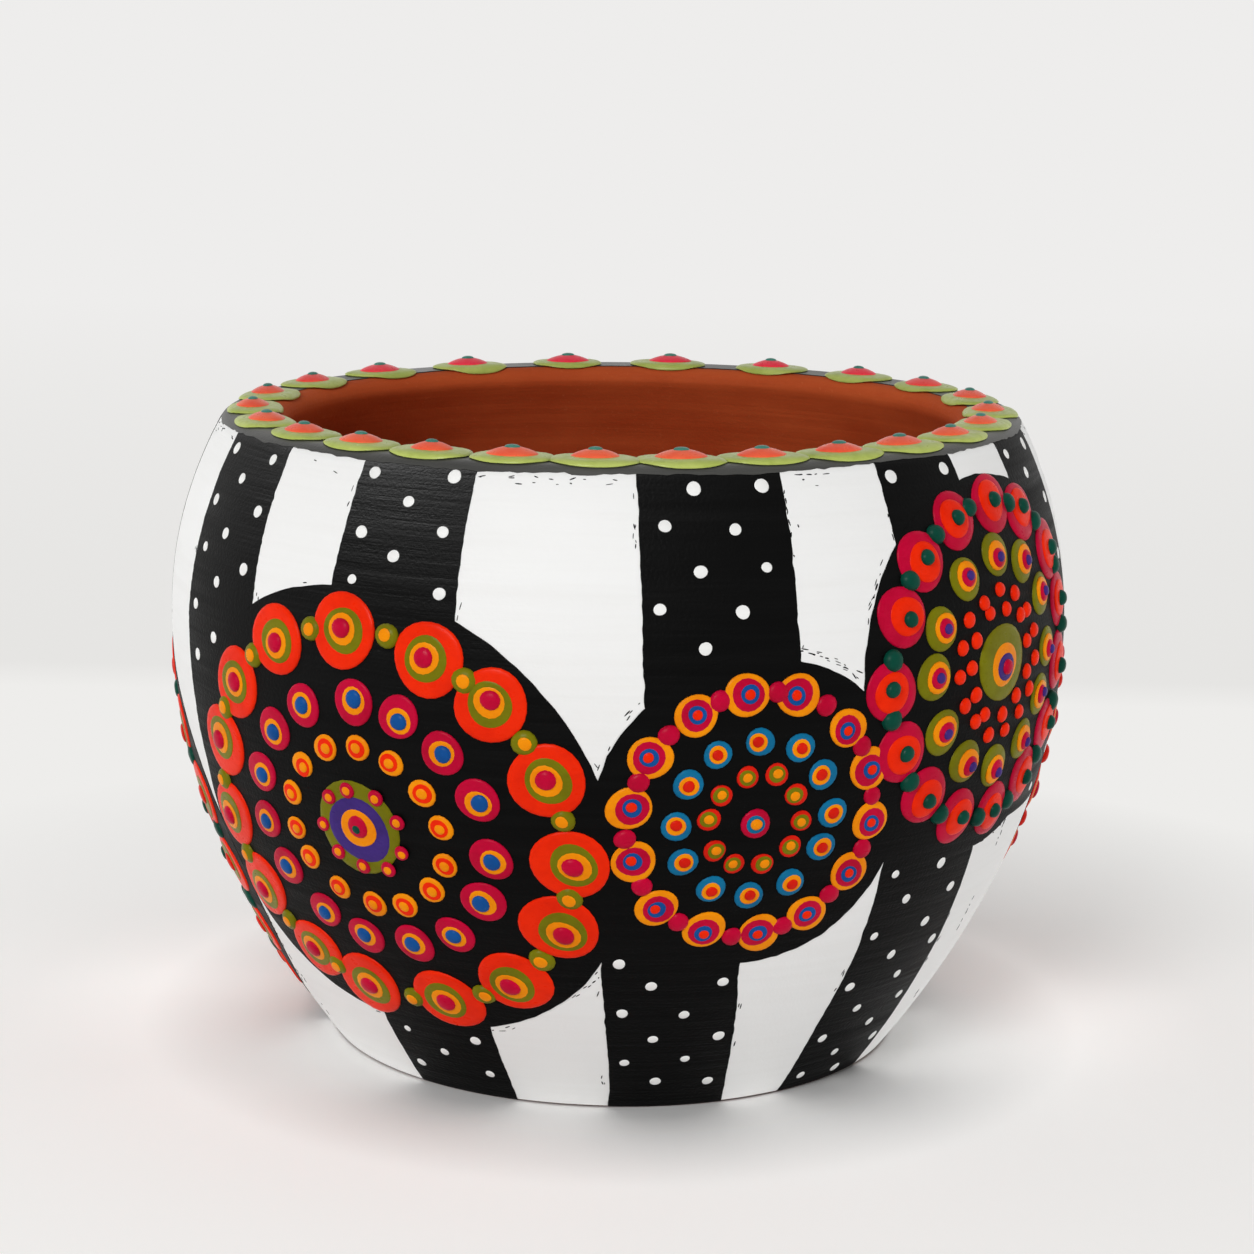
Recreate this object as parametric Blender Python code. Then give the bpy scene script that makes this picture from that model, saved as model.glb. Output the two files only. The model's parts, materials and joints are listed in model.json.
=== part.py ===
"""A round terracotta ball vase with painted dot medallions and a beaded rim.

The pot is one thrown and fired piece.  Thick paint stands on it in relief: round
medallions of dots on the wall, and a ring of berries on leaf shaped pads on the rim.
Lengths are in metres, angles in degrees, and +Z is up.  Angle 0 on the pot faces -Y.
"""
import math

import bmesh
import bpy
from mathutils import Matrix, Vector

# The pot
BELLY_RADIUS = 0.100
BELLY_HEIGHT = 0.096
BASE_RADIUS = 0.0641
SHOULDER_HEIGHT = 0.0455
SHOULDER_INSET = 0.0118
LIP_WIDTH = 0.0160
WALL = 0.0095
FLOOR = 0.011
BASE_EDGE_ROUND = 0.002
LIP_OUTER_ROUND = 0.004
LIP_INNER_ROUND = 0.003
FLOOR_ROUND = 0.014
POT_SEGMENTS = 60
OUTER_STEPS = 11
INNER_STEPS = 5

# Paint that stands proud of the pot
CLEARANCE = 0.0003
PLATE_THICKNESS = 0.0005
PLATE_MARGIN = 0.0003
PLATE_CELL = 0.0100
DOT_GAP = 0.0020
DOT_SLOPE = 0.0016
BIG_DOT_HEIGHT = 0.0018
SMALL_DOT_HEIGHT = 0.0015
BOSS_HEIGHT = 0.0016
BIG_DOT_SIDES = 8
SMALL_DOT_SIDES = 6
BOSS_SIDES = 8

# The ring of berries on leaves, set closest together at one angle near the front
BERRY_COUNT = 24
BERRY_CROWDING = 0.22
BERRY_CROWDED_AT = 7.2
BERRY_START = -4.2
BERRY_RADIUS = 0.0050
BERRY_HEIGHT = 0.0014
BERRY_SIDES = 8
TIP_RADIUS = 0.00170
TIP_HEIGHT = 0.0008
LEAF_INNER_REACH = 0.0058
LEAF_OUTER_REACH = 0.0085
LEAF_THICKNESS = 0.0008
LEAF_EDGE = 0.0005
LEAF_TAPER = 0.62

# How far the middle of each medallion lies below the widest line of the belly
FRONT_LEFT_DROP = 0.0310
FRONT_CENTRE_DROP = 0.0253
FRONT_RIGHT_DROP = -0.0010
RIGHT_DROP = 0.0340
BACK_DROP = 0.0240
LEFT_DROP = 0.0490

# The round boss in the middle of a medallion
LARGE_BOSS = 0.0200
MEDIUM_BOSS = 0.0170
SMALL_BOSS = 0.0064

# Each medallion: its place on the wall, its reach round the pot, its dots and their paints
MEDALLIONS = (
    dict(name="medallion_front_left", angle=-32.7, drop=FRONT_LEFT_DROP, reach=28.9, boss=LARGE_BOSS,
         big_count=15, small_count=15, paints=("orange", "magenta", "olive")),
    dict(name="medallion_front_centre", angle=16.7, drop=FRONT_CENTRE_DROP, reach=17.7, boss=SMALL_BOSS,
         big_count=14, small_count=12, paints=("yellow", "blue", "magenta")),
    dict(name="medallion_front_right", angle=54.5, drop=FRONT_RIGHT_DROP, reach=22.3, boss=MEDIUM_BOSS,
         big_count=15, small_count=12, paints=("magenta", "olive", "yellow")),
    dict(name="medallion_right", angle=107.0, drop=RIGHT_DROP, reach=25.6, boss=MEDIUM_BOSS,
         big_count=15, small_count=13, paints=("orange", "teal", "yellow")),
    dict(name="medallion_back", angle=179.0, drop=BACK_DROP, reach=28.0, boss=MEDIUM_BOSS,
         big_count=15, small_count=14, paints=("blue", "orange", "magenta")),
    dict(name="medallion_left", angle=264.5, drop=LEFT_DROP, reach=25.0, boss=MEDIUM_BOSS,
         big_count=15, small_count=14, paints=("orange", "olive", "teal")),
)

# Colour, roughness and metallic of each finish
FINISHES = {
    "terracotta": ((0.55, 0.22, 0.10), 0.85, 0.0),
    "black": ((0.010, 0.010, 0.011), 0.45, 0.0),
    "leaf": ((0.32, 0.46, 0.08), 0.45, 0.0),
    "berry": ((0.87, 0.12, 0.03), 0.40, 0.0),
    "orange": ((0.90, 0.08, 0.01), 0.40, 0.0),
    "olive": ((0.21, 0.20, 0.01), 0.40, 0.0),
    "yellow": ((0.95, 0.35, 0.01), 0.40, 0.0),
    "magenta": ((0.60, 0.005, 0.07), 0.40, 0.0),
    "blue": ((0.01, 0.17, 0.50), 0.40, 0.0),
    "teal": ((0.005, 0.12, 0.09), 0.40, 0.0),
}

RIM_HEIGHT = BELLY_HEIGHT + SHOULDER_HEIGHT
RIM_RADIUS = BELLY_RADIUS - SHOULDER_INSET
# The shoulder is an arc of an ellipse that ends on the rim
SHOULDER_REACH = SHOULDER_HEIGHT / math.sqrt(1 - (RIM_RADIUS / BELLY_RADIUS) ** 2)


def clear_scene():
    for obj in list(bpy.data.objects):
        bpy.data.objects.remove(obj, do_unlink=True)


def finish_material(name):
    material = bpy.data.materials.get(name)
    if material is None:
        colour, roughness, metallic = FINISHES[name]
        material = bpy.data.materials.new(name)
        material.use_nodes = True
        shader = material.node_tree.nodes["Principled BSDF"]
        shader.inputs["Base Color"].default_value = (*colour, 1.0)
        shader.inputs["Roughness"].default_value = roughness
        shader.inputs["Metallic"].default_value = metallic
    return material


def finished_mesh(work, name, finishes):
    """Mesh from a bmesh, with its faces out, smooth round parts and its finishes."""
    bmesh.ops.recalc_face_normals(work, faces=work.faces)
    mesh = bpy.data.meshes.new(name)
    work.to_mesh(mesh)
    work.free()
    mesh.shade_smooth()
    mesh.set_sharp_from_angle(angle=math.radians(35))
    for finish in finishes:
        mesh.materials.append(finish_material(finish))
    return mesh


def place(name, mesh, location=(0.0, 0.0, 0.0), turn=0.0):
    obj = bpy.data.objects.new(name, mesh)
    obj.location = location
    obj.rotation_euler = (0.0, 0.0, turn)
    bpy.context.scene.collection.objects.link(obj)
    return obj


def outer_radius(z):
    """Radius of the outside wall at a height."""
    if z <= BELLY_HEIGHT:
        drop = 1 - z / BELLY_HEIGHT
        return BELLY_RADIUS - (BELLY_RADIUS - BASE_RADIUS) * drop ** 2
    rise = (z - BELLY_HEIGHT) / SHOULDER_REACH
    return BELLY_RADIUS * math.sqrt(1 - rise ** 2)


def inner_radius(z):
    """Radius of the inside wall: the wall thickens from the belly to the lip."""
    share = max(0.0, (z - BELLY_HEIGHT) / SHOULDER_HEIGHT)
    return outer_radius(z) - WALL - (LIP_WIDTH - WALL) * share


def wall_slope(z):
    step = 0.0002
    return (outer_radius(z + step) - outer_radius(z - step)) / (2 * step)


def round_corner(before, corner, after, radius, steps):
    """Points of an arc that rounds one corner of a profile."""
    corner = Vector(corner)
    back = (Vector(before) - corner).normalized()
    ahead = (Vector(after) - corner).normalized()
    half = back.angle(ahead) / 2
    centre = corner + (back + ahead).normalized() * radius / math.sin(half)
    first = corner + back * radius / math.tan(half) - centre
    last = corner + ahead * radius / math.tan(half) - centre
    turn = first.angle(last)
    points = []
    for i in range(steps + 1):
        a = turn * i / steps
        points.append(centre + (first * math.sin(turn - a) + last * math.sin(a)) / math.sin(turn))
    return points


def outer_wall():
    """Points up the outside wall, clear of the rounded base edge and lip."""
    low = 2 * BASE_EDGE_ROUND
    high = RIM_HEIGHT - 1.2 * LIP_OUTER_ROUND
    heights = [low + (high - low) * i / OUTER_STEPS for i in range(OUTER_STEPS + 1)]
    return [Vector((outer_radius(z), z)) for z in heights]


def inner_wall():
    """Points down the inside wall, clear of the rounded lip and floor."""
    high = RIM_HEIGHT - 2.6 * LIP_INNER_ROUND
    low = FLOOR + 1.3 * FLOOR_ROUND
    heights = [high + (low - high) * i / INNER_STEPS for i in range(INNER_STEPS + 1)]
    return [Vector((inner_radius(z), z)) for z in heights]


def lip_profile():
    """Points over the lip, from the outside wall to the inside wall."""
    outer_corner = Vector((RIM_RADIUS, RIM_HEIGHT))
    inner_corner = Vector((RIM_RADIUS - LIP_WIDTH, RIM_HEIGHT))
    points = round_corner(outer_wall()[-1], outer_corner, inner_corner, LIP_OUTER_ROUND, 2)
    points += round_corner(outer_corner, inner_corner, inner_wall()[0], LIP_INNER_ROUND, 2)
    return points


def pot_profile():
    """Profile of the pot, from the middle of the base round to the middle of the floor."""
    outside = outer_wall()
    inside = inner_wall()
    base_corner = (outer_radius(0.0), 0.0)
    floor_corner = (inner_radius(FLOOR), FLOOR)
    points = [Vector((0.0, 0.0))]
    points += round_corner((0.0, 0.0), base_corner, outside[0], BASE_EDGE_ROUND, 1)
    points += outside + lip_profile() + inside
    points += round_corner(inside[-1], floor_corner, (0.0, FLOOR), FLOOR_ROUND, 2)
    points.append(Vector((0.0, FLOOR)))
    return points


def turned(profile, segments):
    """Closed solid of a profile turned about Z; the profile starts and ends on the axis."""
    work = bmesh.new()
    line = [work.verts.new((0.0, -point.x, point.y)) for point in profile]
    edges = [work.edges.new(pair) for pair in zip(line, line[1:])]
    bmesh.ops.spin(work, geom=line + edges, cent=(0.0, 0.0, 0.0), axis=(0.0, 0.0, 1.0),
                   angle=2 * math.pi, steps=segments, use_merge=True)
    bmesh.ops.remove_doubles(work, verts=work.verts, dist=1e-6)
    return work


def make_pot():
    pot = finished_mesh(turned(pot_profile(), POT_SEGMENTS), "pot", ["terracotta"])
    return place("terracotta_pot", pot)


def climb(z, distance):
    """Height reached from a height by going a distance up (or down) the wall."""
    steps = 24
    for _ in range(steps):
        z += distance / steps / math.hypot(1.0, wall_slope(z))
    return z


def wall_point(medallion, across, up, proud):
    """Point over the wall, a distance across and up from a medallion's centre."""
    z = climb(BELLY_HEIGHT - medallion["drop"], up)
    radius = outer_radius(z)
    angle = math.radians(medallion["angle"]) + 2 * math.asin(across / (2 * radius))
    slope = wall_slope(z)
    length = math.hypot(1.0, slope)
    radius += proud / length
    z -= proud * slope / length
    return Vector((radius * math.sin(angle), -radius * math.cos(angle), z))


def plate_radius(medallion):
    return BELLY_RADIUS * math.radians(medallion["reach"])


def dot_ring(limit, count):
    """Ring radius and dot diameter of as many dots as stated, just inside a limiting radius."""
    share = math.sin(math.pi / count)
    diameter = (2 * limit * share - DOT_GAP) / (1 + share)
    return limit - diameter / 2, diameter


def bridge(work, centre, outer, inner):
    """Triangles between two loops of (flat point, vertex) round a centre, or from a loop to it."""
    full = 2 * math.pi

    def turn(item):
        return math.atan2(item[0].y - centre.y, item[0].x - centre.x) % full

    loops = [sorted(outer, key=turn), sorted(inner, key=turn)]
    at = [0, 0]

    def next_turn(side):
        i = at[side] + 1
        return turn(loops[side][i % len(loops[side])]) + full * (i // len(loops[side]))

    while at[0] < len(loops[0]) or 1 < len(loops[1]) > at[1]:
        here = [loops[s][at[s] % len(loops[s])][1] for s in (0, 1)]
        if at[1] == len(loops[1]) or len(loops[1]) == 1:
            side = 0
        elif at[0] == len(loops[0]):
            side = 1
        else:
            side = 0 if next_turn(0) <= next_turn(1) else 1
        at[side] += 1
        ahead = loops[side][at[side] % len(loops[side])][1]
        work.faces.new((here[0], here[1], ahead))


def circle(work, medallion, radius, turns, proud, centre=Vector((0.0, 0.0))):
    """Points on a circle over the wall, each as its turn, its flat place and its vertex."""
    points = []
    for turn in turns:
        flat = centre + Vector((radius * math.cos(turn), radius * math.sin(turn)))
        points.append((turn, (flat, work.verts.new(wall_point(medallion, *flat, proud)))))
    return points


def items(points, start=0.0, span=2 * math.pi):
    """The points of a circle whose turn lies in a span."""
    return [item for turn, item in points if (turn - start + 1e-6) % (2 * math.pi) <= span + 2e-6]


def even_turns(count):
    return [round(2 * math.pi * k / count, 9) for k in range(count)]


def add_dot(work, medallion, cell, centre, diameter, height, sides, paint):
    """A low dot with sloping sides, raised inside one cell of the plate's face."""
    face_level = CLEARANCE + PLATE_THICKNESS
    turns = even_turns(sides)
    foot = items(circle(work, medallion, diameter / 2, turns, face_level, centre))
    top = items(circle(work, medallion, diameter / 2 - DOT_SLOPE, turns, face_level + height, centre))
    bridge(work, centre, cell, foot)
    faces = [work.faces.new([vertex for _, vertex in top])]
    for k in range(sides):
        n = (k + 1) % sides
        faces.append(work.faces.new((foot[k][1], foot[n][1], top[n][1], top[k][1])))
    for face in faces:
        face.material_index = paint


def make_medallion(medallion):
    """A thin round plate of paint that follows the wall, with two rings of dots and a boss."""
    work = bmesh.new()
    middle = Vector((0.0, 0.0))
    face_level = CLEARANCE + PLATE_THICKNESS
    reach = plate_radius(medallion)
    big_count = medallion["big_count"]
    small_count = medallion["small_count"]
    big_ring, big_dot = dot_ring(reach - PLATE_MARGIN, big_count)
    big_inside = big_ring - big_dot / 2 - DOT_GAP / 2
    small_ring, small_dot = dot_ring(big_inside - DOT_GAP / 2, small_count)
    small_inside = small_ring - small_dot / 2 - DOT_GAP / 2

    # Circles of points on the face, with the lines between neighbouring dots as shared edges
    big_lines = even_turns(big_count)
    small_lines = even_turns(small_count)
    edge = circle(work, medallion, reach, even_turns(2 * big_count), face_level)
    half_way = circle(work, medallion, big_ring, big_lines, face_level)
    shared = circle(work, medallion, big_inside, sorted(set(big_lines + small_lines)), face_level)
    inner = circle(work, medallion, small_inside, even_turns(2 * small_count), face_level)

    for line in big_lines:
        step = 2 * math.pi / big_count
        cell = items(edge, line, step) + items(half_way, line, step) + items(shared, line, step)
        centre = Vector((big_ring, 0.0)) @ Matrix.Rotation(-line - step / 2, 2)
        add_dot(work, medallion, cell, centre, big_dot, BIG_DOT_HEIGHT, BIG_DOT_SIDES, 1)
    for line in small_lines:
        step = 2 * math.pi / small_count
        cell = items(shared, line, step) + items(inner, line, step)
        centre = Vector((small_ring, 0.0)) @ Matrix.Rotation(-line - step / 2, 2)
        add_dot(work, medallion, cell, centre, small_dot, SMALL_DOT_HEIGHT, SMALL_DOT_SIDES, 2)
    add_dot(work, medallion, items(inner), middle, medallion["boss"], BOSS_HEIGHT, BOSS_SIDES, 3)

    # The back of the plate, in rings that thin out towards the middle
    back = circle(work, medallion, reach, even_turns(2 * big_count), CLEARANCE)
    for (_, (_, low)), (_, (_, low_next)), (_, (_, high)), (_, (_, high_next)) in zip(
            back, back[1:] + back[:1], edge, edge[1:] + edge[:1]):
        work.faces.new((low, low_next, high_next, high))
    rings = math.ceil(reach / PLATE_CELL)
    for i in range(rings - 1, 0, -1):
        radius = reach * i / rings
        count = max(6, math.ceil(2 * math.pi * radius / PLATE_CELL))
        smaller = circle(work, medallion, radius, even_turns(count), CLEARANCE)
        bridge(work, middle, items(back), items(smaller))
        back = smaller
    bridge(work, middle, items(back), items(circle(work, medallion, 0.0, [0.0], CLEARANCE)))
    mesh = finished_mesh(work, medallion["name"], ("black",) + medallion["paints"])
    return place(medallion["name"], mesh)


def berry_angles():
    """Angles of the berries in radians, closer together at the front than at the back."""
    crowded = math.radians(BERRY_CROWDED_AT)
    angles = []
    for k in range(BERRY_COUNT):
        even = 2 * math.pi * k / BERRY_COUNT + math.radians(BERRY_START)
        angles.append(even - BERRY_CROWDING * (math.sin(even - crowded) + math.sin(crowded)))
    return angles


def lip_stations():
    """Points over the lip from inside to outside: distance from the seat, point and normal."""
    points = list(reversed(outer_wall()[-2:] + lip_profile() + inner_wall()[:1]))
    tops = [i for i, point in enumerate(points) if abs(point.y - RIM_HEIGHT) < 1e-7]
    points.insert(tops[1], (points[tops[0]] + points[tops[1]]) / 2)
    stations = []
    for before, point, after in zip(points, points[1:], points[2:]):
        along = (after - point).normalized() + (point - before).normalized()
        stations.append([0.0, point, Vector((-along.y, along.x)).normalized()])
    for i in range(1, len(stations)):
        stations[i][0] = stations[i - 1][0] + (stations[i][1] - stations[i - 1][1]).length
    seat = stations[tops[1] - 1][0]
    for station in stations:
        station[0] -= seat
    return stations


def leaf_rows():
    """The lip's points that lie under a leaf, with the leaf's own two ends added."""
    stations = lip_stations()
    rows = [row for row in stations if -LEAF_INNER_REACH < row[0] < LEAF_OUTER_REACH]
    for near, far in zip(stations, stations[1:]):
        for reach in (-LEAF_INNER_REACH, LEAF_OUTER_REACH):
            if near[0] < reach <= far[0]:
                share = (reach - near[0]) / (far[0] - near[0])
                rows.append([reach, near[1].lerp(far[1], share), near[2].lerp(far[2], share)])
    return sorted(rows, key=lambda row: row[0])


def make_leaf(half_angle):
    """A leaf shaped pad that hangs over the lip, with a flat seat for its berry."""
    rows = leaf_rows()
    columns = (-1.0, -0.58, 0.58, 1.0)
    seat = RIM_HEIGHT + CLEARANCE + LEAF_THICKNESS
    work = bmesh.new()
    under = []
    over = []
    for i, (distance, point, normal) in enumerate(rows):
        reach = LEAF_OUTER_REACH if distance > 0 else LEAF_INNER_REACH
        spread = half_angle * (1 - LEAF_TAPER * (distance / reach) ** 2)
        under.append([])
        over.append([])
        for share in columns:
            turn = Matrix.Rotation(spread * share, 3, "Z")
            at_edge = i in (0, len(rows) - 1) or abs(share) == 1.0
            low = point + normal * CLEARANCE
            high = low + normal * (LEAF_EDGE if at_edge else LEAF_THICKNESS)
            if not at_edge and abs(distance) <= BERRY_RADIUS:
                high = Vector((low.x, seat))
            under[-1].append(work.verts.new(turn @ Vector((0.0, -low.x, low.y))))
            over[-1].append(work.verts.new(turn @ Vector((0.0, -high.x, high.y))))
    for sheet in (under, over):
        for row, next_row in zip(sheet, sheet[1:]):
            for k in range(len(columns) - 1):
                work.faces.new((row[k], row[k + 1], next_row[k + 1]))
                work.faces.new((row[k], next_row[k + 1], next_row[k]))
    low_edge = under[0] + [row[-1] for row in under[1:]] + under[-1][-2::-1]
    low_edge += [row[0] for row in under[-2:0:-1]]
    high_edge = over[0] + [row[-1] for row in over[1:]] + over[-1][-2::-1]
    high_edge += [row[0] for row in over[-2:0:-1]]
    for k in range(len(low_edge)):
        n = (k + 1) % len(low_edge)
        work.faces.new((low_edge[k], low_edge[n], high_edge[n], high_edge[k]))
    return finished_mesh(work, "rim_leaf", ["leaf"])


def make_berry():
    """A low dome with a small round tip, standing on Z = 0."""
    profile = [Vector((0.0, 0.0)), Vector((BERRY_RADIUS, 0.0))]
    for turn in (35, 60):
        a = math.radians(turn)
        profile.append(Vector((BERRY_RADIUS * math.cos(a), BERRY_HEIGHT * math.sin(a))))
    tip_foot = BERRY_HEIGHT * math.sqrt(1 - (TIP_RADIUS / BERRY_RADIUS) ** 2)
    profile.append(Vector((TIP_RADIUS, tip_foot)))
    profile.append(Vector((TIP_RADIUS * 0.75, tip_foot + TIP_HEIGHT * 0.75)))
    profile.append(Vector((0.0, tip_foot + TIP_HEIGHT)))
    return finished_mesh(turned(profile, BERRY_SIDES), "rim_berry", ["berry"])


def make_rim_beads():
    angles = berry_angles()
    rows = leaf_rows()
    spacing = min((b - a) % (2 * math.pi) for a, b in zip(angles, angles[1:] + angles[:1]))
    half_angle = spacing / 2 - CLEARANCE / 2 / min(row[1].x for row in rows)
    leaf = make_leaf(half_angle)
    berry = make_berry()
    radius = min(rows, key=lambda row: abs(row[0]))[1].x
    foot = RIM_HEIGHT + 2 * CLEARANCE + LEAF_THICKNESS
    for k, angle in enumerate(angles):
        seat = (radius * math.sin(angle), -radius * math.cos(angle), foot)
        place(f"rim_leaf_{k + 1:02d}", leaf, turn=angle)
        place(f"rim_berry_{k + 1:02d}", berry, location=seat, turn=angle)


clear_scene()
make_pot()
for medallion in MEDALLIONS:
    make_medallion(medallion)
make_rim_beads()
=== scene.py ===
import json
import math
from functools import partial

import bpy
import numpy as np
from mathutils import Euler, Matrix

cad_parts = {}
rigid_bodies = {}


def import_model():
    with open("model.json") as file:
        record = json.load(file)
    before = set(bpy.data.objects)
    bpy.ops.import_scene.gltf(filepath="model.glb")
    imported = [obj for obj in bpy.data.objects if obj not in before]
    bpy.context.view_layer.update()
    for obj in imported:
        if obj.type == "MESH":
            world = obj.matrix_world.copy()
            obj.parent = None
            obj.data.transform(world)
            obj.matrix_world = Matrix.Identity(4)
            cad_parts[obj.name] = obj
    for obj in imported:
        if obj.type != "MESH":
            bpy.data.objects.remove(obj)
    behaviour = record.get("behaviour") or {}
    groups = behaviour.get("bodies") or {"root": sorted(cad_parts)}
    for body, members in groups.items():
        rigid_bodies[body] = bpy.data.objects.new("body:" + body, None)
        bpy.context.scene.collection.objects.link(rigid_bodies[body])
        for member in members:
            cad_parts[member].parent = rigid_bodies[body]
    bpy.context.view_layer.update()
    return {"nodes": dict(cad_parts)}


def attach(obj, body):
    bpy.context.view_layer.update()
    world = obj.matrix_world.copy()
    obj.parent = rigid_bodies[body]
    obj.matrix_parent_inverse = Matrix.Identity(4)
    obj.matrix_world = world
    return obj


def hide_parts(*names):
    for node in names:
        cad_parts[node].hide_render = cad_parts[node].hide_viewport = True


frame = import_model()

print("frame loaded:", len(frame["nodes"]), "nodes")

fullTurn = 2 * math.pi
millimetre = 0.001
mergeGap = 0.000002
# where the dice start for each thing that a hand leaves uneven
seeds = dict(stripeLeft=100, stripeRight=200, lipFoot=31, lipEnd=32, field=300, medallion=700, marks=41,
             leaf=900, berry=950)


# small helpers for working by hand

def pick(*things):
    if bpy.context.mode != "OBJECT":
        bpy.ops.object.mode_set(mode="OBJECT")
    bpy.ops.object.select_all(action="DESELECT")
    for thing in things:
        thing.select_set(True)
        bpy.context.view_layer.objects.active = thing


def editAll():
    bpy.ops.object.mode_set(mode="EDIT")
    bpy.ops.mesh.select_all(action="SELECT")


def editDone():
    bpy.ops.object.mode_set(mode="OBJECT")


def readPoints(piece):
    points = np.empty(len(piece.data.vertices) * 3)
    piece.data.vertices.foreach_get("co", points)
    return points.reshape(-1, 3)


def setPoints(piece, points):
    piece.data.vertices.foreach_set("co", np.asarray(points, float).ravel())
    piece.data.update()


def pieceFrom(name, points, faces):
    mesh = bpy.data.meshes.new(name)
    mesh.from_pydata([tuple(p) for p in points], [], faces)
    piece = bpy.data.objects.new(name, mesh)
    bpy.context.scene.collection.objects.link(piece)
    return piece


def facesOut(piece):
    pick(piece)
    editAll()
    bpy.ops.mesh.remove_doubles(threshold=mergeGap)
    bpy.ops.mesh.normals_make_consistent(inside=False)
    editDone()


# a painted sheet gets its faces towards the outside, then its thickness inwards
def thicken(piece, thickness):
    pick(piece)
    points = readPoints(piece)
    normals = np.empty(len(points) * 3)
    piece.data.vertices.foreach_get("normal", normals)
    outwards = points * (1, 1, 0) + (0, 0, 0.02)  # away from the axis and a little up
    if (normals.reshape(-1, 3) * outwards).sum() < 0:
        editAll()
        bpy.ops.mesh.flip_normals()
        editDone()
    wall = piece.modifiers.new("thickness", "SOLIDIFY")
    wall.thickness = thickness
    wall.offset = -1.0
    bpy.ops.object.modifier_apply(modifier=wall.name)


def smooth(piece, degrees=40):
    pick(piece)
    bpy.ops.object.shade_smooth_by_angle(angle=math.radians(degrees))


def dress(piece, material, slot, *nodes):
    piece.data.materials.clear()
    piece.data.materials.append(material)
    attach(piece, "root")
    if nodes:
        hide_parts(*nodes)


# materials: a few shared effects, then one material for each paint

# sets a socket, or links what feeds it
def feed(tree, source, socket):
    if isinstance(source, bpy.types.NodeSocket):
        tree.links.new(source, socket)
    else:
        socket.default_value = source


# every effect puts out a colour, a roughness and a height
def newGroup(name, inputs):
    tree = bpy.data.node_groups.new(name, "ShaderNodeTree")
    for label, value in inputs.items():
        kind = "NodeSocketColor" if isinstance(value, tuple) else "NodeSocketFloat"
        tree.interface.new_socket(label, in_out="INPUT", socket_type=kind).default_value = value
    tree.interface.new_socket("Colour", in_out="OUTPUT", socket_type="NodeSocketColor")
    for label in ("Roughness", "Height"):
        tree.interface.new_socket(label, in_out="OUTPUT", socket_type="NodeSocketFloat")
    return tree, tree.nodes.new("NodeGroupInput").outputs


def putOut(tree, colour, roughness, height):
    out = tree.nodes.new("NodeGroupOutput")
    for label, source in (("Colour", colour), ("Roughness", roughness), ("Height", height)):
        tree.links.new(source, out.inputs[label])
    return tree


def stretched(tree, stretch=(1, 1, 1), scale=1.0, detail=2.0):
    place = tree.nodes.new("ShaderNodeTexCoord")
    mapping = tree.nodes.new("ShaderNodeMapping")
    mapping.inputs["Scale"].default_value = stretch
    tree.links.new(place.outputs["Object"], mapping.inputs["Vector"])
    noise = tree.nodes.new("ShaderNodeTexNoise")
    for label, value in (("Scale", scale), ("Detail", detail), ("Roughness", 0.6)):
        noise.inputs[label].default_value = value
    tree.links.new(mapping.outputs["Vector"], noise.inputs["Vector"])
    return noise.outputs["Fac"]


def spread(tree, source, low, high, toLow=0.0, toHigh=1.0):
    node = tree.nodes.new("ShaderNodeMapRange")
    for label, value in (("From Min", low), ("From Max", high), ("To Min", toLow), ("To Max", toHigh)):
        node.inputs[label].default_value = value
    tree.links.new(source, node.inputs["Value"])
    return node.outputs["Result"]


def blend(tree, factor, first, second):
    node = tree.nodes.new("ShaderNodeMix")
    node.data_type = "RGBA"
    for label, source in (("Factor", factor), ("A", first), ("B", second)):
        isColour = label != "Factor"
        feed(tree, source, [s for s in node.inputs if s.name == label and (s.type == "RGBA") == isColour][0])
    return [s for s in node.outputs if s.type == "RGBA"][0]


def sums(tree, how, first, second):
    node = tree.nodes.new("ShaderNodeMath")
    node.operation = how
    for source, socket in zip((first, second), node.inputs):
        feed(tree, source, socket)
    return node.outputs["Value"]


# where a point lies: its place, and then x, y and z apart
def placeOf(tree, kind="Object"):
    place = tree.nodes.new("ShaderNodeTexCoord").outputs[kind]
    split = tree.nodes.new("ShaderNodeSeparateXYZ")
    tree.links.new(place, split.inputs["Vector"])
    return place, split.outputs


# brushed paint: strokes laid round the pot, with a thinner film between them
def makeBrushedPaint():
    tree, given = newGroup("brushedPaint", {
        "Paint": (0.8, 0.8, 0.8, 1), "Thin film": (0.6, 0.6, 0.6, 1), "Roughness": 0.5, "Strokes": 0.5})
    strokes = stretched(tree, stretch=(14, 14, 420), detail=4.0)
    patches = stretched(tree, scale=38.0, detail=3.0)
    grain = stretched(tree, scale=1500.0)
    thin = sums(tree, "MULTIPLY", spread(tree, strokes, 0.42, 0.75), given["Strokes"])
    patchy = sums(tree, "MULTIPLY", spread(tree, patches, 0.45, 0.75, 0.0, 0.5), given["Strokes"])
    colour = blend(tree, sums(tree, "MAXIMUM", thin, patchy), given["Paint"], given["Thin film"])
    dull = sums(tree, "ADD", given["Roughness"], spread(tree, strokes, 0.3, 0.7, -0.08, 0.10))
    return putOut(tree, colour, dull, sums(tree, "ADD", strokes, sums(tree, "MULTIPLY", grain, 0.35)))


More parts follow.
